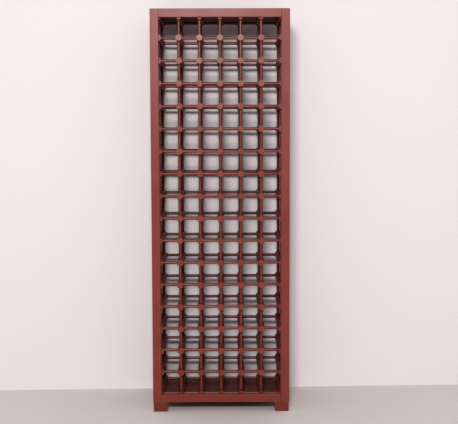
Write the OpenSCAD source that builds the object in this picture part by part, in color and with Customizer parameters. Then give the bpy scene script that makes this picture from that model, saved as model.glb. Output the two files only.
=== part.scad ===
// Free-standing wine rack. A lattice of round logs and thin round rods stands in a
// board carcass with a face frame, open at the back, on four block feet.
// +X is right, -Y is the front, +Z is up. The origin is on the floor, at the middle of
// the rack's width and depth. All sizes are in millimetres.

/* [Lattice] */
// Number of bottle columns, side by side
columns = 6; // [3:1:7]
// Number of bottle rows, one above the other
rows = 17; // [4:1:18]
// Distance between log centres across the rack
cell_pitch_x = 102; // [92:1:125]
// Distance between log centres up the rack
cell_pitch_z = 112; // [92:1:135]
// Distance between the two highest rows of logs
top_pitch_z = 105; // [92:1:135]
// Diameter of a log
log_d = 32; // [26:0.5:40]
// Length of a log
log_l = 360; // [240:5:440]
// Bevel around each end of a log
log_bevel = 1; // [0.5:0.25:2]
// Diameter of a rod
rod_d = 15; // [10:0.5:18]
// Distance from a log's end to the rods' plane
rod_inset = 30; // [30:1:60]

/* [Carcass] */
// Distance the carcass reaches back behind the logs
back_gap = 50; // [0:5:60]
// Thickness of the side panels
side_t = 22; // [18:1:30]
// Thickness of the top and bottom panels
deck_t = 18; // [15:1:25]
// Thickness of the face frame
face_t = 20; // [16:1:28]
// Width of the face frame's uprights
stile_w = 41; // [34:1:50]
// Height of the face frame's rails
rail_h = 41; // [30:1:50]
// Small bevel along every board's edges
arris = 1; // [0.5:0.25:2]

/* [Feet] */
// Height of a foot
foot_h = 48; // [30:1:80]
// Width of a foot across the rack
foot_w = 70; // [55:1:90]
// Depth of a foot from front to back
foot_depth = 70; // [50:1:90]
// How far a foot's outer side stands in from the side panel
foot_inset = 2; // [0:0.5:5]
// Bevel along a foot's edges
foot_bevel = 2; // [1:0.5:4]

/* [Joints] */
// Wood left between the ends of two crossing sockets
socket_web = 0.5; // [0.3:0.1:1.5]
// Space between a rod's or a dowel's end and the bottom of its hole
end_gap = 0.5; // [0.2:0.1:1.5]
// Radial clearance of a rod in its socket
rod_clearance = 0.1; // [0.05:0.05:0.2]
// Diameter of a dowel
dowel_d = 8; // [5:0.5:9]
// Radial clearance of a dowel or a screw in its hole
dowel_clearance = 0.05; // [0.03:0.01:0.1]
// Depth of a dowel's hole in a board's face or in a log
shallow_hole = 12; // [8:0.5:13]
// Depth of a dowel's hole in a board's end or edge
deep_hole = 20; // [14:1:22]
// Dowels in each joint between a side panel and a deck
carcass_dowel_count = 3; // [2:1:5]
// Dowels between a side panel and its stile
stile_dowel_count = 6; // [3:1:10]
// Dowels between a deck and its rail
rail_dowel_count = 3; // [2:1:5]
// Every so many rows, the side logs are pinned to the side panels
pinned_row_step = 4; // [2:1:8]

/* [Screws] */
// Diameter of a foot screw's shank
screw_d = 4.5; // [3.5:0.5:6]
// How deep a foot screw bites into the board above the foot
screw_bite = 12; // [8:1:13]
// Diameter of a foot screw's head
screw_head_d = 9; // [7:0.5:12]
// Height of a foot screw's head
screw_head_h = 3; // [2:0.5:4]
// Depth of the well that hides a foot screw's head
screw_well = 18; // [8:1:18]

/* [Hidden] */
$fn = 64;
cut = 1;
log_r = log_d / 2;
socket_depth = (log_d - rod_d) / 2 - socket_web;
rod_seat = socket_depth - end_gap;

lattice_w = columns * cell_pitch_x;
inner_w = lattice_w + log_d;
rack_w = inner_w + 2 * side_t;
carcass_d = log_l + back_gap;
rack_d = carcass_d + face_t;
face_front = -rack_d / 2;
log_front = face_front + face_t;
log_back = log_front + log_l;
carcass_back = log_front + carcass_d;
rod_planes = [log_front + rod_inset, log_back - rod_inset];

carcass_z = foot_h;
first_row_z = carcass_z + deck_t + log_r;
last_row_z = first_row_z + (rows - 1) * cell_pitch_z + top_pitch_z;
carcass_top = last_row_z + log_r + deck_t;
carcass_h = carcass_top - carcass_z;
deck_w = inner_w;
rail_w = rack_w - 2 * stile_w;

dowel_bevel = 0.8;
end_margin = 60;
screw_edge = 16;
foot_screw_offsets = [side_t / 2 - foot_inset, foot_w - screw_edge];
screw_l = foot_h - screw_well + screw_bite;
well_play = 1;
head_slot_w = 1;
head_slot_depth = 1.5;

BOARD = [0.52, 0.26, 0.22];
FACE = [0.56, 0.28, 0.24];
LOG = [0.64, 0.34, 0.30];
ROD = [0.48, 0.22, 0.19];
BEECH = [0.80, 0.66, 0.48];
STEEL = [0.62, 0.62, 0.60];

// Sides of the rack: -1 is left and 1 is right
SIDES = [-1, 1];

function column_x(c) = c * cell_pitch_x - lattice_w / 2;
function row_z(r) = r < rows ? first_row_z + r * cell_pitch_z : last_row_z;
function two_digits(n) = n < 10 ? str("0", n) : str(n);
function is_pinned(r) = r % pinned_row_step == 0;
// Places of n things spread evenly between two ends, keeping a margin from both
function spread(n, low, high, margin) =
    [for (i = [0:n - 1]) low + margin + i * (high - low - 2 * margin) / (n - 1)];

log_names = [for (c = [1:columns + 1]) str("logs_column_", c)];
row_names = [for (r = [1:rows + 1]) str("cross_rods_row_", two_digits(r))];
front_names = [for (c = [1:columns + 1]) str("front_uprights_column_", c)];
back_names = [for (c = [1:columns + 1]) str("back_uprights_column_", c)];

deck_dowel_y = spread(carcass_dowel_count, log_front, carcass_back, end_margin);
deck_mid_z = [carcass_z + deck_t / 2, carcass_top - deck_t / 2];
stile_dowel_z = spread(stile_dowel_count, carcass_z, carcass_top, end_margin);
rail_dowel_x = spread(rail_dowel_count, -rail_w / 2, rail_w / 2, end_margin);
rail_low_z = [carcass_z, carcass_top - rail_h];
pinned_rows = [for (r = [0:rows]) if (is_pinned(r)) r];

// ---- shapes that repeat ----

// A rectangle with bevelled corners
module bevelled_rect(size, bevel) {
    polygon([
        [bevel, 0], [size[0] - bevel, 0], [size[0], bevel], [size[0], size[1] - bevel],
        [size[0] - bevel, size[1]], [bevel, size[1]], [0, size[1] - bevel], [0, bevel]]);
}

// A board of size [x, y, z] with a bevel along all twelve edges
module board(size, bevel = arris) {
    intersection() {
        linear_extrude(size[2]) bevelled_rect([size[0], size[1]], bevel);
        translate([0, size[1], 0]) rotate([90, 0, 0])
            linear_extrude(size[1]) bevelled_rect([size[0], size[2]], bevel);
        rotate([90, 0, 90]) linear_extrude(size[0]) bevelled_rect([size[1], size[2]], bevel);
    }
}

// A round stick along +Z, bevelled at both ends
module stick(d, l, bevel) {
    r = d / 2;
    rotate_extrude() polygon([
        [0, 0], [r - bevel, 0], [r, bevel], [r, l - bevel], [r - bevel, l], [0, l]]);
}

// Directions, each a turn of the +Z axis
module towards_x(side) rotate([0, side * 90, 0]) children();
module towards_z(side) rotate([side > 0 ? 0 : 180, 0, 0]) children();
module towards_back() rotate([-90, 0, 0]) children();

// A blind hole along +Z: it starts at the origin and ends at depth, with cut to spare
module blind_hole(d, depth) translate([0, 0, -cut]) cylinder(d = d, h = depth + cut);

// A dowel's blind hole, from a surface at the origin
module dowel_hole(depth) blind_hole(dowel_d + 2 * dowel_clearance, depth);

// A dowel along +Z that goes below the origin in one piece and above it in the other
module dowel(below, above)
    translate([0, 0, end_gap - below]) stick(dowel_d, below + above - 2 * end_gap, dowel_bevel);

// ---- where the joints are; children are placed there ----

// Ends of the decks, pointing outwards
module at_deck_ends(side)
    for (y = deck_dowel_y, z = deck_mid_z)
        translate([side * deck_w / 2, y, z]) towards_x(side) children();

// Ends of the rails, pointing outwards
module at_rail_ends(side)
    for (low = rail_low_z, share = [0.25, 0.75])
        translate([side * rail_w / 2, face_front + face_t / 2, low + share * rail_h])
            towards_x(side) children();

// Front edges of the side panels, pointing backwards
module at_side_edges(side)
    for (z = stile_dowel_z)
        translate([side * (rack_w - side_t) / 2, log_front, z]) towards_back() children();

// Front edges of the decks, pointing backwards
module at_deck_edges()
    for (x = rail_dowel_x, z = deck_mid_z)
        translate([x, log_front, z]) towards_back() children();

// Outer sides of the pinned side logs, pointing outwards
module at_side_logs(side)
    for (r = pinned_rows, y = rod_planes)
        translate([side * inner_w / 2, y, row_z(r)]) towards_x(side) children();

// Undersides of the feet, pointing up; each foot has two screws
module at_foot_screws(x_sides, backs)
    for (x_side = x_sides, back = backs, offset = foot_screw_offsets)
        translate([
            x_side * (rack_w / 2 - foot_inset - offset),
            back ? carcass_back - foot_depth / 2 : face_front + foot_depth / 2,
            0]) children();

// ---- carcass ----

module side_panel(side) {
    color(BOARD) difference() {
        translate([side > 0 ? inner_w / 2 : -rack_w / 2, log_front, carcass_z])
            board([side_t, carcass_d, carcass_h]);
        at_deck_ends(side) dowel_hole(shallow_hole);
        at_side_logs(side) dowel_hole(shallow_hole);
        at_side_edges(side) dowel_hole(deep_hole);
        at_foot_screws([side], [false, true]) screw_pilot();
    }
}

module deck(low_z) {
    color(BOARD) difference() {
        translate([-deck_w / 2, log_front, low_z]) board([deck_w, carcass_d, deck_t]);
        for (side = SIDES) at_deck_ends(side) rotate([180, 0, 0]) dowel_hole(deep_hole);
        at_deck_edges() dowel_hole(deep_hole);
        at_foot_screws(SIDES, [false, true]) screw_pilot();
    }
}

module top_panel() deck(carcass_top - deck_t);
module bottom_panel() deck(carcass_z);

// ---- face frame ----

module stile(side) {
    color(FACE) difference() {
        translate([side > 0 ? rack_w / 2 - stile_w : -rack_w / 2, face_front, carcass_z])
            board([stile_w, face_t, carcass_h]);
        at_rail_ends(side) dowel_hole(deep_hole);
        at_side_edges(side) rotate([180, 0, 0]) dowel_hole(shallow_hole);
    }
}

module rail(low_z) {
    color(FACE) difference() {
        translate([-rail_w / 2, face_front, low_z]) board([rail_w, face_t, rail_h]);
        for (side = SIDES) at_rail_ends(side) rotate([180, 0, 0]) dowel_hole(deep_hole);
        at_deck_edges() rotate([180, 0, 0]) dowel_hole(shallow_hole);
    }
}

module top_rail() rail(carcass_top - rail_h);
module bottom_rail() rail(carcass_z);

// ---- feet ----

module foot(side, back) {
    color(BOARD) difference() {
        translate([
            side > 0 ? rack_w / 2 - foot_inset - foot_w : foot_inset - rack_w / 2,
            back ? carcass_back - foot_depth : face_front,
            0]) board([foot_w, foot_depth, foot_h], foot_bevel);
        at_foot_screws([side], [back]) {
            blind_hole(screw_head_d + well_play, screw_well);
            cylinder(d = screw_d + well_play, h = foot_h + cut);
        }
    }
}

// Hole that a foot screw bites into, above the foot
module screw_pilot()
    translate([0, 0, foot_h])
        blind_hole(screw_d + 2 * dowel_clearance, screw_bite + end_gap);

module foot_screw() {
    translate([0, 0, screw_well]) difference() {
        union() {
            translate([0, 0, -screw_head_h]) cylinder(d = screw_head_d, h = screw_head_h);
            translate([0, 0, -cut]) cylinder(d = screw_d, h = screw_l + cut);
        }
        for (turn = [0, 90]) rotate([0, 0, turn])
            translate([-screw_head_d / 4, -head_slot_w / 2, -screw_head_h - cut])
                cube([screw_head_d / 2, head_slot_w, head_slot_depth + cut]);
    }
}

// ---- lattice ----

// One log lying along Y, with a socket towards each neighbour
module log(c, r) {
    difference() {
        translate([column_x(c), log_front, row_z(r)])
            towards_back() stick(log_d, log_l, log_bevel);
        for (y = rod_planes) translate([column_x(c), y, row_z(r)]) {
            if (c > 0) towards_x(-1) rod_socket();
            if (c < columns) towards_x(1) rod_socket();
            if (r > 0) towards_z(-1) rod_socket();
            if (r < rows) towards_z(1) rod_socket();
        }
        if (c == 0 && is_pinned(r)) at_side_logs(-1) rotate([180, 0, 0]) dowel_hole(shallow_hole);
        if (c == columns && is_pinned(r)) at_side_logs(1) rotate([180, 0, 0]) dowel_hole(shallow_hole);
    }
}

// Socket for a rod's end, in a log whose axis passes through the origin
module rod_socket()
    translate([0, 0, log_r - socket_depth])
        cylinder(d = rod_d + 2 * rod_clearance, h = socket_depth + cut);

// A rod along +Z between two logs that are a pitch apart
module rod(pitch)
    translate([0, 0, log_r - rod_seat]) stick(rod_d, pitch - log_d + 2 * rod_seat, end_gap);

module logs_column(c) color(LOG) for (r = [0:rows]) log(c, r);

module cross_rods_row(r)
    color(ROD) for (c = [0:columns - 1], y = rod_planes)
        translate([column_x(c), y, row_z(r)]) towards_x(1) rod(cell_pitch_x);

module uprights_column(c, y)
    color(ROD) for (r = [0:rows - 1])
        translate([column_x(c), y, row_z(r)]) rod(row_z(r + 1) - row_z(r));

// ---- dowels and screws ----

module carcass_dowels()
    color(BEECH) for (side = SIDES) at_deck_ends(side) dowel(deep_hole, shallow_hole);

module frame_dowels()
    color(BEECH) for (side = SIDES) at_rail_ends(side) dowel(deep_hole, deep_hole);

module face_dowels()
    color(BEECH) {
        for (side = SIDES) at_side_edges(side) dowel(shallow_hole, deep_hole);
        at_deck_edges() dowel(shallow_hole, deep_hole);
    }

module side_log_dowels()
    color(BEECH) for (side = SIDES) at_side_logs(side) dowel(shallow_hole, shallow_hole);

module foot_screws() color(STEEL) at_foot_screws(SIDES, [false, true]) foot_screw();

side_panel(-1);  // side_panel_left
side_panel(1);  // side_panel_right
top_panel();
bottom_panel();
stile(-1);  // stile_left
stile(1);  // stile_right
top_rail();
bottom_rail();
foot(-1, false);  // foot_front_left
foot(1, false);  // foot_front_right
foot(-1, true);  // foot_back_left
foot(1, true);  // foot_back_right
for (c = [0:columns]) logs_column(c);
for (r = [0:rows]) cross_rods_row(r);
for (c = [0:columns]) uprights_column(c, rod_planes[0]);
for (c = [0:columns]) uprights_column(c, rod_planes[1]);
carcass_dowels();
frame_dowels();
face_dowels();
side_log_dowels();
foot_screws();
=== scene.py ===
"""Dresses the wine rack: stained wood on its boards, logs and rods, in a plain studio.

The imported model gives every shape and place. This script adds the finishes, the light
and the camera.
"""
import logging
import math
from collections.abc import Sequence
from dataclasses import dataclass
from enum import Enum

import bpy
from mathutils import Matrix, Vector


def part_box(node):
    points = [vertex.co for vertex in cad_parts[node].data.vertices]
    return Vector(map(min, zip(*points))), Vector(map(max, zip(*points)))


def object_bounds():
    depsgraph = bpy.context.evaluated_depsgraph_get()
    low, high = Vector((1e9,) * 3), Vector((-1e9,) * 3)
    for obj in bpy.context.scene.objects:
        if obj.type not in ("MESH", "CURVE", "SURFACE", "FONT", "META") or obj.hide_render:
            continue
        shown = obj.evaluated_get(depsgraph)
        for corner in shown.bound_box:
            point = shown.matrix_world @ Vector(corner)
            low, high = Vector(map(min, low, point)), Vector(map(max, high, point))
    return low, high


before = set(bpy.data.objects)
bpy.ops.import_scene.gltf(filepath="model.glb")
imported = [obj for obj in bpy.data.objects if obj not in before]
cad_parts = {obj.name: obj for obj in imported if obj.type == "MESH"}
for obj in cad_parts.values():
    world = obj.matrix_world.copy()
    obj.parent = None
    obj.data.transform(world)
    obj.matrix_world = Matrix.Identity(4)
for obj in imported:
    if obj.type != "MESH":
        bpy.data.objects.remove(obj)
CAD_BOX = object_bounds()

LOG = logging.getLogger("wine_rack")
Colour = tuple[float, float, float]
Point = tuple[float, float, float]
Span = tuple[float, float]


def paint(red: int, green: int, blue: int) -> Colour:
    """A colour as a paint chart gives it, from 0 to 255, as linear light.

    Args:
        red: Share of red, from 0 to 255.
        green: Share of green, from 0 to 255.
        blue: Share of blue, from 0 to 255.

    Returns:
        The same colour in linear light, from 0 to 1.
    """
    def linear(value: int) -> float:
        """One channel in linear light, by the standard display curve."""
        share = value / 255
        return share / 12.92 if share <= 0.04045 else ((share + 0.055) / 1.055) ** 2.4

    return linear(red), linear(green), linear(blue)


class Grain(Enum):
    """The axis of the rack that a board's grain follows, by its number."""

    ACROSS = 0
    UP = 2


class Way(Enum):
    """A direction in a piece of wood: two across its grain and one along it."""

    SIDE = 0
    OTHER = 1
    ALONG = 2


class Link:
    """A number in a shader, with the usual operators.

    Each operator adds one Math node to the bench that the number comes from.
    """

    def __init__(self, bench: "Bench", socket: bpy.types.NodeSocket) -> None:
        """Wraps a socket.

        Args:
            bench: The bench that holds the socket's node.
            socket: The output socket that gives the number.
        """
        self.bench = bench
        self.socket = socket

    def _math(self, operation: str, *values: "Link | float") -> "Link":
        """The result of one Math node.

        Args:
            operation: The Math node's operation.
            values: Its inputs, in order.

        Returns:
            The node's value.
        """
        return self.bench.node("ShaderNodeMath", {"operation": operation}, dict(enumerate(values)))

    def __add__(self, other: "Link | float") -> "Link":
        """This number plus another."""
        return self._math("ADD", self, other)

    def __radd__(self, other: float) -> "Link":
        """A plain number plus this one."""
        return self._math("ADD", other, self)

    def __sub__(self, other: "Link | float") -> "Link":
        """This number less another."""
        return self._math("SUBTRACT", self, other)

    def __rsub__(self, other: float) -> "Link":
        """A plain number less this one."""
        return self._math("SUBTRACT", other, self)

    def __mul__(self, other: "Link | float") -> "Link":
        """This number times another."""
        return self._math("MULTIPLY", self, other)

    def __rmul__(self, other: float) -> "Link":
        """A plain number times this one."""
        return self._math("MULTIPLY", other, self)

    def __truediv__(self, other: "Link | float") -> "Link":
        """This number over another."""
        return self._math("DIVIDE", self, other)

    def __rtruediv__(self, other: float) -> "Link":
        """A plain number over this one."""
        return self._math("DIVIDE", other, self)

    def __gt__(self, other: "Link | float") -> "Link":
        """1 where this number is the larger, and 0 elsewhere."""
        return self._math("GREATER_THAN", self, other)

    def __abs__(self) -> "Link":
        """This number without its sign."""
        return self._math("ABSOLUTE", self)

    def floor(self) -> "Link":
        """The whole number at or below this one."""
        return self._math("FLOOR", self)

    def fraction(self) -> "Link":
        """What is left above the whole number."""
        return self._math("FRACT", self)

    def root(self) -> "Link":
        """The square root."""
        return self._math("SQRT", self)

    def least(self, other: "Link | float") -> "Link":
        """The smaller of two numbers."""
        return self._math("MINIMUM", self, other)

    def most(self, other: "Link | float") -> "Link":
        """The larger of two numbers."""
        return self._math("MAXIMUM", self, other)

    def ramp(self, low: float, high: float) -> "Link":
        """A smooth step.

        Args:
            low: Where the step starts.
            high: Where it ends. It may be the smaller one, for a step down.

        Returns:
            0 before low, 1 after high, and a smooth change between.
        """
        first, last = (0.0, 1.0) if low < high else (1.0, 0.0)
        sockets = {
            "Value": self,
            "From Min": min(low, high),
            "From Max": max(low, high),
            "To Min": first,
            "To Max": last,
        }
        return self.bench.node("ShaderNodeMapRange", {"interpolation_type": "SMOOTHSTEP"}, sockets)


Input = Link | float | Sequence[float]


class Bench:
    """Where one material's nodes are put together."""

    def __init__(self, name: str) -> None:
        """Starts an empty material.

        Args:
            name: The material's name.
        """
        self.material = bpy.data.materials.new(name)
        self.material.use_nodes = True
        self.tree = self.material.node_tree
        self.tree.nodes.clear()

    def add(
        self, kind: str, settings: dict[str, object], sockets: dict[str | int, Input]
    ) -> bpy.types.Node:
        """Adds any node.

        Args:
            kind: The node's type.
            settings: Its own settings, set before its sockets are.
            sockets: What goes into each input, by name or number: a link or a value.

        Returns:
            The node.
        """
        made = self.tree.nodes.new(kind)
        for name, value in settings.items():
            setattr(made, name, value)
        for name, value in sockets.items():
            if isinstance(value, Link):
                self.tree.links.new(value.socket, made.inputs[name])
            else:
                made.inputs[name].default_value = value
        return made

    def node(
        self,
        kind: str,
        settings: dict[str, object],
        sockets: dict[str | int, Input],
        output: str | int = 0,
    ) -> Link:
        """Adds any node and takes one of its outputs.

        Args:
            kind: The node's type.
            settings: Its own settings.
            sockets: What goes into each input, by name or number: a link or a value.
            output: The output that is wanted, by name or number.

        Returns:
            That output.
        """
        return Link(self, self.add(kind, settings, sockets).outputs[output])

    def vector(self, x: Input, y: Input, z: Input) -> Link:
        """Three numbers as one vector."""
        return self.node("ShaderNodeCombineXYZ", {}, {"X": x, "Y": y, "Z": z})

    def parts(self, vector: Link) -> tuple[Link, Link, Link]:
        """A vector as three numbers."""
        x, y, z = self.add("ShaderNodeSeparateXYZ", {}, {"Vector": vector}).outputs
        return Link(self, x), Link(self, y), Link(self, z)

    def place(self) -> tuple[Link, Link, Link]:
        """The shaded point, in the rack's own frame and in metres."""
        return self.parts(self.node("ShaderNodeTexCoord", {}, {}, "Object"))

    def facing(self) -> tuple[Link, Link, Link]:
        """How far the surface faces along each axis, whichever way round."""
        x, y, z = self.parts(self.node("ShaderNodeTexCoord", {}, {}, "Normal"))
        return abs(x), abs(y), abs(z)

    def noise(self, place: Link, detail: float, roughness: float) -> Link:
        """Smooth noise, from 0 to 1.

        Args:
            place: Where it is read; one unit is about one blob.
            detail: How many finer layers it has.
            roughness: How strong the finer layers are.

        Returns:
            The noise.
        """
        sockets = {"Vector": place, "Scale": 1.0, "Detail": detail, "Roughness": roughness}
        return self.node("ShaderNodeTexNoise", {}, sockets, "Fac")

    def chance(self, place: Link) -> tuple[Link, Link, Link]:
        """Three even random numbers from 0 to 1, which change only where place does."""
        return self.parts(
            self.node("ShaderNodeTexWhiteNoise", {"noise_dimensions": "3D"}, {"Vector": place}, "Color")
        )

    def mix(self, share: Input, first: Input, second: Input) -> Link:
        """A blend of two colours.

        Args:
            share: How much of the second there is, from 0 to 1.
            first: The first colour.
            second: The second colour.

        Returns:
            The blend.
        """
        def whole(colour: Input) -> Input:
            """A plain colour with its alpha."""
            return colour if isinstance(colour, Link) else (*colour, 1.0)

        # A mix node repeats its socket names for each kind of value, so colours go by number.
        settings = {"data_type": "RGBA", "clamp_factor": True}
        sockets = {0: share, 6: whole(first), 7: whole(second)}
        return self.node("ShaderNodeMix", settings, sockets, 2)

    def finish(
        self,
        colour: Input,
        roughness: Input,
        height: Link | None = None,
        bump: float = 0.0,
        **others: Input,
    ) -> bpy.types.Material:
        """Ends the material in one shader.

        Args:
            colour: The base colour.
            roughness: The roughness.
            height: The surface's height for the bump, from 0 to 1.
            bump: How deep the height goes, in metres.
            others: Values or links for the shader's other sockets, named with underscores.

        Returns:
            The finished material.
        """
        sockets: dict[str | int, Input] = {"Base Color": colour, "Roughness": roughness}
        sockets |= {name.replace("_", " "): value for name, value in others.items()}
        if height is not None:
            sockets["Normal"] = self.node(
                "ShaderNodeBump", {}, {"Height": height, "Distance": bump, "Strength": 1.0}, "Normal"
            )
        shader = self.node("ShaderNodeBsdfPrincipled", {}, sockets, "BSDF")
        self.close(shader)
        return self.material

    def close(self, shader: Link) -> None:
        """Joins a shader to the material's output."""
        self.add("ShaderNodeOutputMaterial", {}, {"Surface": shader})


@dataclass(frozen=True)
class Speckle:
    """Noise that a finish is made from.

    Attributes:
        scale: How many blobs there are in a metre, along each direction.
        moved: The direction that a piece's own shift moves the noise along.
        detail: How many finer layers it has.
        roughness: How strong the finer layers are.
    """

    scale: Point
    moved: Way = Way.SIDE
    detail: float = 3.0
    roughness: float = 0.5

    def read(self, bench: Bench, place: Sequence[Link], shift: Link | None = None) -> Link:
        """The noise at a place.

        Args:
            bench: The bench it is read on.
            place: The place, as three distances in metres.
            shift: How far the noise is moved for this piece, in blobs.

        Returns:
            The noise, from 0 to 1.
        """
        spot = [distance * scale for distance, scale in zip(place, self.scale)]
        if shift is not None:
            spot[self.moved.value] += shift
        return bench.noise(bench.vector(*spot), self.detail, self.roughness)


@dataclass(frozen=True)
class LatticePlan:
    """Where the lattice's logs and rods are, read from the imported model. Metres.

    Attributes:
        first_x: The middle of the first log column.
        pitch_x: The distance from one column to the next.
        first_z: The middle of the lowest row.
        pitch_z: The distance from one row to the next.
        top_pitch: The same for the two highest rows, which are closer together.
        rows: How many rows of logs there are.
        log_front: Where the logs start.
        log_back: Where they end.
        log_radius: Half a log's thickness.
        rod_radius: Half a rod's thickness.
        front_plane: The middle of the front rods.
        back_plane: The middle of the back rods.
    """

    first_x: float
    pitch_x: float
    first_z: float
    pitch_z: float
    top_pitch: float
    rows: int
    log_front: float
    log_back: float
    log_radius: float
    rod_radius: float
    front_plane: float
    back_plane: float

    @classmethod
    def read(cls) -> "LatticePlan":
        """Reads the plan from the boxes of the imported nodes.

        Returns:
            The plan.
        """
        columns = sorted(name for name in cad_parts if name.startswith("logs_column_"))
        rows = sorted(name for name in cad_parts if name.startswith("cross_rods_row_"))
        places = [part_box(name) for name in columns]
        heights = [sum(corner.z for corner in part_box(name)) / 2 for name in rows]
        low, high = places[0]
        rod_low, rod_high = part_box("front_uprights_column_1")
        back_low, back_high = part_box("back_uprights_column_1")
        return cls(
            first_x=(low.x + high.x) / 2,
            pitch_x=places[1][0].x - low.x,
            first_z=heights[0],
            pitch_z=heights[1] - heights[0],
            top_pitch=heights[-1] - heights[-2],
            rows=len(rows),
            log_front=low.y,
            log_back=high.y,
            log_radius=(high.x - low.x) / 2,
            rod_radius=(rod_high.x - rod_low.x) / 2,
            front_plane=(rod_low.y + rod_high.y) / 2,
            back_plane=(back_low.y + back_high.y) / 2,
        )

    @property
    def mid_y(self) -> float:
        """Half way along the logs."""
        return (self.log_front + self.log_back) / 2

    def column(self, x: Link) -> tuple[Link, Link]:
        """Which log column a point is at, and how far it is from that column's middle."""
        count = ((x - self.first_x) / self.pitch_x + 0.5).floor()
        return count, x - self.first_x - count * self.pitch_x

    def row(self, z: Link) -> tuple[Link, Link]:
        """Which log row a point is at, and how far it is above that row's middle."""
        top_cell = self.first_z + (self.rows - 2) * self.pitch_z + self.top_pitch / 2
        level = z + (z > top_cell) * (self.pitch_z - self.top_pitch)
        count = ((level - self.first_z) / self.pitch_z + 0.5).floor()
        return count, level - self.first_z - count * self.pitch_z

    def plane(self, y: Link) -> tuple[Link, Link]:
        """Whether a point is nearer the back rods, and how far it is from its rods' plane."""
        back = y > self.mid_y
        return back, y - self.front_plane - back * (self.back_plane - self.front_plane)


@dataclass(frozen=True)
class Effect:
    """How much one feature of the wood darkens, roughens and raises its surface."""

    dark: float = 0.0
    rough: float = 0.0
    raised: float = 0.0


BEND = Speckle((6.0, 6.0, 2.4), Way.OTHER, detail=1.0)
WAVER = Speckle((60.0, 60.0, 5.0), Way.ALONG)
FIBRE = Speckle((900.0, 900.0, 16.0), roughness=0.6)
PORE = Speckle((1500.0, 1500.0, 55.0), Way.OTHER, detail=1.0)
BLOTCH = Speckle((14.0, 14.0, 7.0), roughness=0.55)
RUB = Speckle((40.0, 40.0, 22.0), Way.OTHER, roughness=0.6)
# Mottles the painted shade where parts meet.
SHADE_MOTTLE = Speckle((90.0, 90.0, 90.0), detail=2.0)


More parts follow.
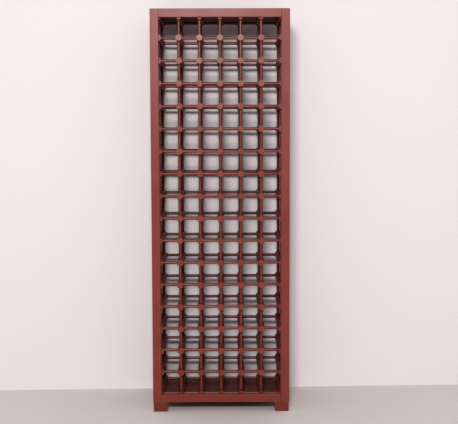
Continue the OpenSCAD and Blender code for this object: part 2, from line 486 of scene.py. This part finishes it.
@dataclass(frozen=True)
class StainedWood:
    """Red-brown stained and varnished wood, as a solid with growth rings. Metres.

    A span says where a change starts and where it is complete.

    Attributes:
        name: What the wood is for.
        light: The colour between the rings.
        dark: The colour of the late wood.
        worn: The colour where the finish is rubbed thin.
        ring: How wide a growth ring is.
        tint: How much lighter or darker a whole piece may be than the next.
        roughness: The roughness under the varnish.
        sheen: How much varnish there is.
        sheen_blur: The varnish's own roughness.
        ior: How strongly the wood under the varnish reflects, as an index of refraction.
        shift: How far a piece's two chances move its noise, in blobs.
        heart: The least distance from a piece's middle to the tree's heart.
        heart_depth: How much further off the heart may be.
        heart_sway: How wide the strip is that the heart may lie in.
        bend: How far the grain bends along a piece.
        waver: How far a ring's edge wavers, in rings.
        late: Where in a ring the late wood starts.
        late_end: Where it stops, from the ring's outer edge inwards.
        pores: Which of the noise makes pores.
        blotches: Which of the noise makes blotches.
        rubs: Which of the noise is rubbed thin, where there is wear.
        worn_share: How much of the worn colour shows there.
        shade_least: The least of the painted shade's deep tone that shows where parts meet.
        shade_more: How much more of it the mottling may add.
        shade_tone: The painted shade's deep tone, as a share of the dark colour.
        relief: How deep the grain's bumps are.
        late_effect: What the late wood does to the surface.
        fibre_effect: What the fibres do.
        pore_effect: What the pores do.
        blotch_effect: What the blotches do.
        rub_effect: What the rubbing does.
    """

    name: str
    light: Colour
    dark: Colour
    worn: Colour
    ring: float = 0.0042
    tint: float = 0.16
    roughness: float = 0.58
    sheen: float = 0.3
    sheen_blur: float = 0.34
    ior: float = 1.35
    shift: tuple[float, float] = (7.0, 3.0)
    heart: float = 0.028
    heart_depth: float = 0.03
    heart_sway: float = 0.06
    bend: float = 0.012
    waver: float = 0.9
    late: Span = (0.45, 0.96)
    late_end: Span = (1.0, 0.97)
    pores: Span = (0.66, 0.78)
    blotches: Span = (0.3, 0.75)
    rubs: Span = (0.42, 0.62)
    worn_share: float = 0.55
    shade_least: float = 0.45
    shade_more: float = 0.4
    shade_tone: float = 0.22
    relief: float = 0.00012
    late_effect: Effect = Effect(dark=0.26, raised=-0.25)
    fibre_effect: Effect = Effect(dark=0.34, rough=0.08, raised=0.55)
    pore_effect: Effect = Effect(dark=0.3, rough=0.1, raised=-0.8)
    blotch_effect: Effect = Effect(dark=0.22, rough=0.08)
    rub_effect: Effect = Effect(rough=0.1, raised=0.25)

    def late_wood(
        self, bench: Bench, place: Sequence[Link], luck: Sequence[Link], shift: Link
    ) -> Link:
        """Where the dark late wood of the growth rings is.

        Args:
            bench: The bench it is built on.
            place: Distances from the piece's middle, in the order of Way.
            luck: The piece's own random numbers.
            shift: How far the piece's noise is moved.

        Returns:
            1 in late wood, 0 in early wood, and a smooth change between.
        """
        side, other, _ = place
        bend = (BEND.read(bench, place, shift) - 0.5) * self.bend
        from_side = side + (luck[0] - 0.5) * self.heart_sway + bend
        from_other = other + self.heart + luck[1] * self.heart_depth
        distance = (from_side * from_side + from_other * from_other).root()
        waver = WAVER.read(bench, place, shift) * self.waver
        year = (distance / self.ring + waver + shift).fraction()
        return year.ramp(*self.late) * year.ramp(*self.late_end)

    def shade(
        self,
        bench: Bench,
        place: Sequence[Link],
        piece: Link,
        wear: Link | float,
        painted_shade: Link | float,
        polish: Link | float = 1.0,
    ) -> bpy.types.Material:
        """Builds the finish for wood that lies along one direction.

        Args:
            bench: The bench it is built on.
            place: Distances from the piece's middle, in the order of Way, in metres.
            piece: A vector that differs from piece to piece.
            wear: Where the finish is rubbed thin, from 0 to 1.
            painted_shade: Where painted shade darkens the wood at joints, from 0 to 1.
            polish: How much of the varnish is left, from 0 to 1.

        Returns:
            The material.
        """
        luck = bench.chance(piece)
        shift = luck[0] * self.shift[0] + luck[1] * self.shift[1]
        late = self.late_wood(bench, place, luck, shift)
        fibre = FIBRE.read(bench, place, shift)
        pore = PORE.read(bench, place, shift).ramp(*self.pores)
        blotch = BLOTCH.read(bench, place, shift).ramp(*self.blotches)
        rub = RUB.read(bench, place, shift)
        rubbed = rub.ramp(*self.rubs) * wear

        depth = late * self.late_effect.dark + fibre * self.fibre_effect.dark
        depth += blotch * self.blotch_effect.dark + pore * self.pore_effect.dark
        depth += (luck[2] - 0.5) * self.tint
        body = bench.mix(depth, self.light, self.dark)
        body = bench.mix(rubbed * self.worn_share, body, self.worn)
        # Painted shade: where parts meet, the colour is darkened towards a deep tone of the dark
        # colour, mottled by noise.
        joint_shade = painted_shade * (self.shade_least + SHADE_MOTTLE.read(bench, place, shift) * self.shade_more)
        body = bench.mix(joint_shade, body, tuple(share * self.shade_tone for share in self.dark))

        gloss = (blotch - 0.5) * self.blotch_effect.rough + fibre * self.fibre_effect.rough
        gloss += rubbed * self.rub_effect.rough + pore * self.pore_effect.rough
        height = fibre * self.fibre_effect.raised + late * self.late_effect.raised
        height += pore * self.pore_effect.raised + rub * self.rub_effect.raised
        return bench.finish(
            body,
            gloss + self.roughness,
            height,
            bump=self.relief,
            IOR=self.ior,
            Coat_Weight=polish * self.sheen,
            Coat_Roughness=self.sheen_blur,
        )


BOARD_WOOD = StainedWood(
    "board", light=paint(126, 58, 48), dark=paint(90, 36, 28), worn=paint(181, 111, 90)
)
FACE_WOOD = StainedWood(
    "face", light=paint(140, 62, 51), dark=paint(105, 41, 33), worn=paint(190, 117, 96)
)
FOOT_WOOD = StainedWood(
    "foot", light=paint(129, 56, 45), dark=paint(94, 37, 30), worn=paint(179, 106, 86)
)
LOG_WOOD = StainedWood(
    "log", light=paint(141, 62, 52), dark=paint(104, 41, 34), worn=paint(184, 113, 92),
    tint=0.5, sheen=0.33, sheen_blur=0.31,
)
ROD_WOOD = StainedWood(
    "rod", light=paint(124, 56, 48), dark=paint(88, 35, 30), worn=paint(173, 104, 86),
    ring=0.0034, tint=0.4, roughness=0.5, sheen=0.34, sheen_blur=0.24, ior=1.45,
)


@dataclass(frozen=True)
class BareBeech:
    """Plain turned beech with short dark flecks."""

    light: Colour = paint(205, 172, 128)
    dark: Colour = paint(168, 128, 86)
    grain: Speckle = Speckle((900.0, 300.0, 900.0), roughness=0.6)
    fleck: Speckle = Speckle((1400.0, 500.0, 500.0), detail=1.0)
    flecks: Span = (0.62, 0.72)
    grain_dark: float = 0.6
    fleck_dark: float = 0.4
    roughness: float = 0.55
    grain_rough: float = 0.2
    relief: float = 0.00008

    def shade(self) -> bpy.types.Material:
        """Builds the finish.

        Returns:
            The material.
        """
        bench = Bench("bare_beech")
        place = bench.place()
        grain = self.grain.read(bench, place)
        fleck = self.fleck.read(bench, place).ramp(*self.flecks)
        depth = grain * self.grain_dark + fleck * self.fleck_dark
        gloss = grain * self.grain_rough + self.roughness
        return bench.finish(bench.mix(depth, self.light, self.dark), gloss, grain, bump=self.relief)


@dataclass(frozen=True)
class ZincPlate:
    """Zinc plate with fine scratches."""

    light: Colour = (0.44, 0.44, 0.42)
    stained: Colour = (0.264, 0.264, 0.252)
    scratch: Speckle = Speckle((2200.0, 2200.0, 300.0), roughness=0.7)
    stain: Speckle = Speckle((260.0, 260.0, 260.0))
    stain_share: float = 0.6
    roughness: float = 0.22
    scratch_rough: float = 0.3
    relief: float = 0.00004

    def shade(self) -> bpy.types.Material:
        """Builds the finish.

        Returns:
            The material.
        """
        bench = Bench("zinc_plate")
        place = bench.place()
        scratch = self.scratch.read(bench, place)
        stain = self.stain.read(bench, place) * self.stain_share
        colour = bench.mix(stain, self.light, self.stained)
        gloss = scratch * self.scratch_rough + self.roughness
        return bench.finish(colour, gloss, scratch, bump=self.relief, Metallic=1.0)


@dataclass(frozen=True)
class StudioPaint:
    """A matt paint with very faint unevenness.

    Attributes:
        name: The material's name.
        colour: Its colour.
        one_way: Whether it lets light through from behind.
        dull: The colour's darkest patches, as a share of it.
        cloud: The unevenness.
    """

    name: str
    colour: Colour
    one_way: bool
    dull: float = 0.985
    cloud: Speckle = Speckle((1.5, 1.5, 1.5))

    def shade(self) -> bpy.types.Material:
        """Builds the finish.

        Returns:
            The material.
        """
        bench = Bench(self.name)
        cloud = self.cloud.read(bench, bench.place())
        tone = bench.mix(cloud, tuple(share * self.dull for share in self.colour), self.colour)
        matt = bench.node("ShaderNodeBsdfDiffuse", {}, {"Color": tone})
        if self.one_way:
            behind = bench.node("ShaderNodeNewGeometry", {}, {}, "Backfacing")
            clear = bench.node("ShaderNodeBsdfTransparent", {}, {})
            matt = bench.node("ShaderNodeMixShader", {}, {0: behind, 1: matt, 2: clear})
        bench.close(matt)
        return bench.material


def dress(name: str, material: bpy.types.Material) -> None:
    """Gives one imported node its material.

    Args:
        name: The node's name.
        material: What it is made of.
    """
    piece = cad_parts[name]
    piece.data.materials.clear()
    piece.data.materials.append(material)
    LOG.info("%s: %s", name, material.name)


@dataclass
class Boards:
    """Boards that share a finish and a grain direction, such as the two side panels.

    Attributes:
        names: The boards' nodes.
        wood: What they are made of.
        grain: The axis that their grain follows.
        joint: How wide the painted shade of the joint gap at each end is, in metres.
        bevel: How squarely the surface faces an axis where a bevel starts, and on the bevel.
        spread: How far apart the boards' seeds are for each metre between them.
    """

    names: tuple[str, ...]
    wood: StainedWood
    grain: Grain
    joint: float = 0.0
    bevel: Span = (0.96, 0.8)
    spread: float = 10.0

    def edges(self, bench: Bench) -> Link:
        """Where a board's bevelled edges are: 1 on a bevel, 0 on a flat side."""
        x, y, z = bench.facing()
        return x.most(y).most(z).ramp(*self.bevel)

    def material(self, name: str, number: int) -> bpy.types.Material:
        """The finish of one board, with a grain of its own.

        Args:
            name: The board's node.
            number: The board's number among its kind.

        Returns:
            The material.
        """
        low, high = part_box(name)
        middle = (low + high) / 2
        bench = Bench(f"{self.wood.name}_wood_{name}")
        place = [here - there for here, there in zip(bench.place(), middle)]
        along = place.pop(self.grain.value)
        half = (high - low)[self.grain.value] / 2
        # Painted shade: a dark line at each end, where the joint gap is in shade.
        painted_shade = abs(along).ramp(half - self.joint, half - self.joint / 2) if self.joint else 0.0
        piece = bench.vector(float(number), middle.x * self.spread, middle.z * self.spread)
        return self.wood.shade(bench, (*place, along), piece, self.edges(bench), painted_shade)

    def dress(self) -> None:
        """Gives every board its finish."""
        for number, name in enumerate(self.names):
            dress(name, self.material(name, number))


@dataclass
class Logs:
    """The lattice's logs, which lie from front to back. Metres.

    A span says where a change starts and where it is complete.

    Attributes:
        plan: Where the logs are.
        wood: What they are made of.
        rim_along: The rubbed rim of a log's end, as measured from the end.
        rim_inward: The same rim, as measured from the log's round side.
        joint_shade: The painted shade round a rod, as measured from the rod's side.
        joint_shade_end: Where that painted shade stops, as measured from the log's end.
        joint_shade_share: How dark the painted shade is.
        cut_end: Where the sawn end's polish starts, as measured from the end.
        side_polish: How much of the polish the log's round side has.
    """

    plan: LatticePlan
    wood: StainedWood
    rim_along: Span = (-0.003, -0.0006)
    rim_inward: Span = (-0.0026, -0.0008)
    joint_shade: Span = (0.0035, 0.0003)
    joint_shade_end: Span = (-0.0004, -0.001)
    joint_shade_share: float = 0.8
    cut_end: Span = (-0.0012, -0.0004)
    side_polish: float = 0.25

    def material(self) -> bpy.types.Material:
        """The finish that all logs share; each log finds its own grain by its place.

        Returns:
            The material.
        """
        bench = Bench("log_wood")
        plan = self.plan
        x, y, z = bench.place()
        column, side = plan.column(x)
        row, rise = plan.row(z)
        inward = (side * side + rise * rise).root() - plan.log_radius
        end = abs(y - plan.mid_y) - (plan.log_back - plan.log_front) / 2
        rim = end.ramp(*self.rim_along) * inward.ramp(*self.rim_inward)
        _, gap = plan.plane(y)
        nearest = abs(side).least(abs(rise))
        from_rod = (gap * gap + nearest * nearest).root() - plan.rod_radius
        # Painted shade: a dark ring on the log round each rod, where the rod enters it.
        joint_shade = from_rod.ramp(*self.joint_shade) * end.ramp(*self.joint_shade_end) * self.joint_shade_share
        polish = end.ramp(*self.cut_end) * (1.0 - self.side_polish) + self.side_polish
        return self.wood.shade(
            bench, (side, rise, y), bench.vector(column, row, 0.0), rim, joint_shade, polish
        )

    def dress(self) -> None:
        """Gives every column of logs its finish."""
        material = self.material()
        for name in sorted(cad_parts):
            if name.startswith("logs_column_"):
                dress(name, material)


@dataclass
class Rods:
    """The thin rods between the logs, across and upright. Metres.

    Attributes:
        plan: Where the rods are.
        wood: What they are made of.
        joint_shade: Where the painted shade beside a log starts and where it is full, from the log's
            side.
        joint_shade_share: How dark the painted shade is.
        across_seed: What the seeds of the rods that lie across start from.
        upright_seed: What the seeds of the rods that stand start from.
    """

    plan: LatticePlan
    wood: StainedWood
    joint_shade: Span = (0.003, 0.0005)
    joint_shade_share: float = 0.7
    across_seed: float = 11.0
    upright_seed: float = 23.0

    def painted_shade(self, from_log: Link) -> Link:
        """Where painted shade darkens a rod beside a log, by its distance from the log's middle."""
        # Painted shade on the rod next to each log.
        return (abs(from_log) - self.plan.log_radius).ramp(*self.joint_shade) * self.joint_shade_share

    def across(self) -> bpy.types.Material:
        """The finish of the rods that lie across the rack.

        Returns:
            The material.
        """
        bench = Bench("cross_rod_wood")
        x, y, z = bench.place()
        back, gap = self.plan.plane(y)
        row, rise = self.plan.row(z)
        column, from_log = self.plan.column(x)
        cell = column + (from_log > 0.0)
        piece = bench.vector(cell, row, back + self.across_seed)
        return self.wood.shade(bench, (gap, rise, x), piece, 0.0, self.painted_shade(from_log))

    def upright(self) -> bpy.types.Material:
        """The finish of the rods that stand.

        Returns:
            The material.
        """
        bench = Bench("upright_rod_wood")
        x, y, z = bench.place()
        back, gap = self.plan.plane(y)
        column, side = self.plan.column(x)
        row, from_log = self.plan.row(z)
        cell = row + (from_log > 0.0)
        piece = bench.vector(column, cell, back + self.upright_seed)
        return self.wood.shade(bench, (side, gap, z), piece, 0.0, self.painted_shade(from_log))

    def dress(self) -> None:
        """Gives every row and column of rods its finish."""
        across, upright = self.across(), self.upright()
        for name in sorted(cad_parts):
            if name.startswith("cross_rods_row_"):
                dress(name, across)
            elif "_uprights_column_" in name:
                dress(name, upright)


@dataclass
class Fasteners:
    """Dowels and screws, which the wood hides."""

    beech: BareBeech = BareBeech()
    zinc: ZincPlate = ZincPlate()

    def dress(self) -> None:
        """Gives the dowels and the screws their finishes."""
        dowel = self.beech.shade()
        for name in ("carcass_dowels", "frame_dowels", "face_dowels", "side_log_dowels"):
            dress(name, dowel)
        dress("foot_screws", self.zinc.shade())


@dataclass(frozen=True)
class SoftBox:
    """A soft studio light. Metres and watts."""

    name: str
    place: Point
    aim: Point
    width: float
    height: float
    power: float

    def build(self) -> bpy.types.Object:
        """Makes the light and turns it to its aim.

        Returns:
            The light.
        """
        data = bpy.data.lights.new(self.name, "AREA")
        data.shape = "RECTANGLE"
        data.size = self.width
        data.size_y = self.height
        data.energy = self.power
        light = bpy.data.objects.new(self.name, data)
        light.location = self.place
        way = Vector(self.aim) - Vector(self.place)
        light.rotation_mode = "QUATERNION"
        light.rotation_quaternion = way.to_track_quat("-Z", "Y")
        bpy.context.scene.collection.objects.link(light)
        LOG.info("%s: %.1f m by %.1f m", self.name, self.width, self.height)
        return light


@dataclass
class Studio:
    """A pale floor, a pale wall close behind the rack, a dim sky and one soft light. Metres.

    Attributes:
        wall_gap: How far the wall is behind the rack.
        wall_turn: How far the wall is turned about the vertical, in degrees.
        reach: How far the floor and the wall reach to each side.
        wall_height: How high the wall is.
        floor: The floor's paint.
        wall: The wall's paint.
        sky: The sky's colour.
        sky_strength: How bright the sky is.
        key: The light.
    """

    wall_gap: float = 0.027
    wall_turn: float = 1.7
    reach: float = 9.0
    wall_height: float = 4.5
    floor: StudioPaint = StudioPaint("studio_floor_paint", paint(228, 223, 219), one_way=False)
    wall: StudioPaint = StudioPaint("studio_wall_paint", paint(243, 238, 238), one_way=True)
    sky: Colour = (0.86, 0.84, 0.84)
    sky_strength: float = 0.47
    key: SoftBox = SoftBox(
        "key_light",
        place=(-0.21, -4.925, 2.69),
        aim=(0.5, 0.245, 1.6),
        width=0.75,
        height=0.68,
        power=131.0,
    )

    def sheet(self, name: str, corners: Sequence[Point], paint_on: StudioPaint) -> None:
        """A flat stage surface.

        Args:
            name: Its name.
            corners: Its four corners, anticlockwise as seen from its front.
            paint_on: Its paint.
        """
        mesh = bpy.data.meshes.new(name)
        mesh.from_pydata(corners, [], [(0, 1, 2, 3)])
        mesh.materials.append(paint_on.shade())
        surface = bpy.data.objects.new(name, mesh)
        bpy.context.scene.collection.objects.link(surface)
        LOG.info("%s: stage", name)

    def build(self) -> None:
        """Makes the floor, the wall, the sky and the light."""
        reach, top = self.reach, self.wall_height
        wall_y = CAD_BOX[1].y + self.wall_gap
        slant = reach * math.tan(math.radians(self.wall_turn))
        near, far = wall_y - slant, wall_y + slant
        self.sheet(
            "studio_floor",
            [(-reach, -reach, 0.0), (reach, -reach, 0.0), (reach, reach, 0.0), (-reach, reach, 0.0)],
            self.floor,
        )
        self.sheet(
            "studio_wall",
            [(-reach, near, 0.0), (reach, far, 0.0), (reach, far, top), (-reach, near, top)],
            self.wall,
        )
        world = bpy.data.worlds.new("studio_sky")
        world.use_nodes = True
        background = world.node_tree.nodes["Background"]
        background.inputs["Color"].default_value = (*self.sky, 1.0)
        background.inputs["Strength"].default_value = self.sky_strength
        bpy.context.scene.world = world
        self.key.build()


@dataclass
class Viewpoint:
    """The camera: a long lens at chest height, in front of the rack's middle.

    Attributes:
        place: Where it stands, in metres.
        turn: How far it is turned to the left, in degrees.
        dip: How far it looks down, in degrees.
        tilt: How far it is rolled anticlockwise, in degrees.
        lens: Its focal length, in millimetres.
        sensor: Its sensor's width, in millimetres.
    """

    place: Point = (0.0139, -4.9868, 1.4109)
    turn: float = -0.337
    dip: float = 4.764
    tilt: float = -0.167
    lens: float = 75.64
    sensor: float = 36.0

    def build(self) -> bpy.types.Object:
        """Makes the scene's camera.

        Returns:
            The camera.
        """
        turn, dip, tilt = (math.radians(angle) for angle in (self.turn, self.dip, self.tilt))
        right = Vector((math.cos(turn), math.sin(turn), 0.0))
        ahead = Vector((-math.sin(turn), math.cos(turn), 0.0))
        upright = Vector((0.0, 0.0, 1.0))
        look = ahead * math.cos(dip) - upright * math.sin(dip)
        up = upright * math.cos(dip) + ahead * math.sin(dip)
        across = right * math.cos(tilt) + up * math.sin(tilt)
        above = up * math.cos(tilt) - right * math.sin(tilt)
        axes = Matrix((across, above, -look)).transposed()

        data = bpy.data.cameras.new("camera")
        data.lens = self.lens
        data.sensor_width = self.sensor
        data.sensor_fit = "HORIZONTAL"
        camera = bpy.data.objects.new("camera", data)
        camera.matrix_world = Matrix.Translation(self.place) @ axes.to_4x4()
        bpy.context.scene.collection.objects.link(camera)
        bpy.context.scene.camera = camera
        LOG.info("camera: %.0f mm lens", self.lens)
        return camera


def main() -> None:
    """Dresses every piece of the rack and sets up the studio."""
    logging.basicConfig(level=logging.INFO, format="%(message)s")
    view = bpy.context.scene.view_settings
    view.view_transform = "Standard"
    view.look = "Medium High Contrast"
    plan = LatticePlan.read()
    assemblies = (
        Boards(("side_panel_left", "side_panel_right"), BOARD_WOOD, Grain.UP),
        Boards(("top_panel", "bottom_panel"), BOARD_WOOD, Grain.ACROSS),
        Boards(("stile_left", "stile_right"), FACE_WOOD, Grain.UP),
        # The rails carry painted shade at their joints with the stiles.
        Boards(("top_rail", "bottom_rail"), FACE_WOOD, Grain.ACROSS, joint=0.0038),
        Boards(("foot_front_left", "foot_front_right"), FOOT_WOOD, Grain.ACROSS),
        Boards(("foot_back_left", "foot_back_right"), FOOT_WOOD, Grain.ACROSS),
        Logs(plan, LOG_WOOD),
        Rods(plan, ROD_WOOD),
        Fasteners(),
    )
    for assembly in assemblies:
        assembly.dress()
    Studio().build()
    Viewpoint().build()


if __name__ == "__main__":
    main()
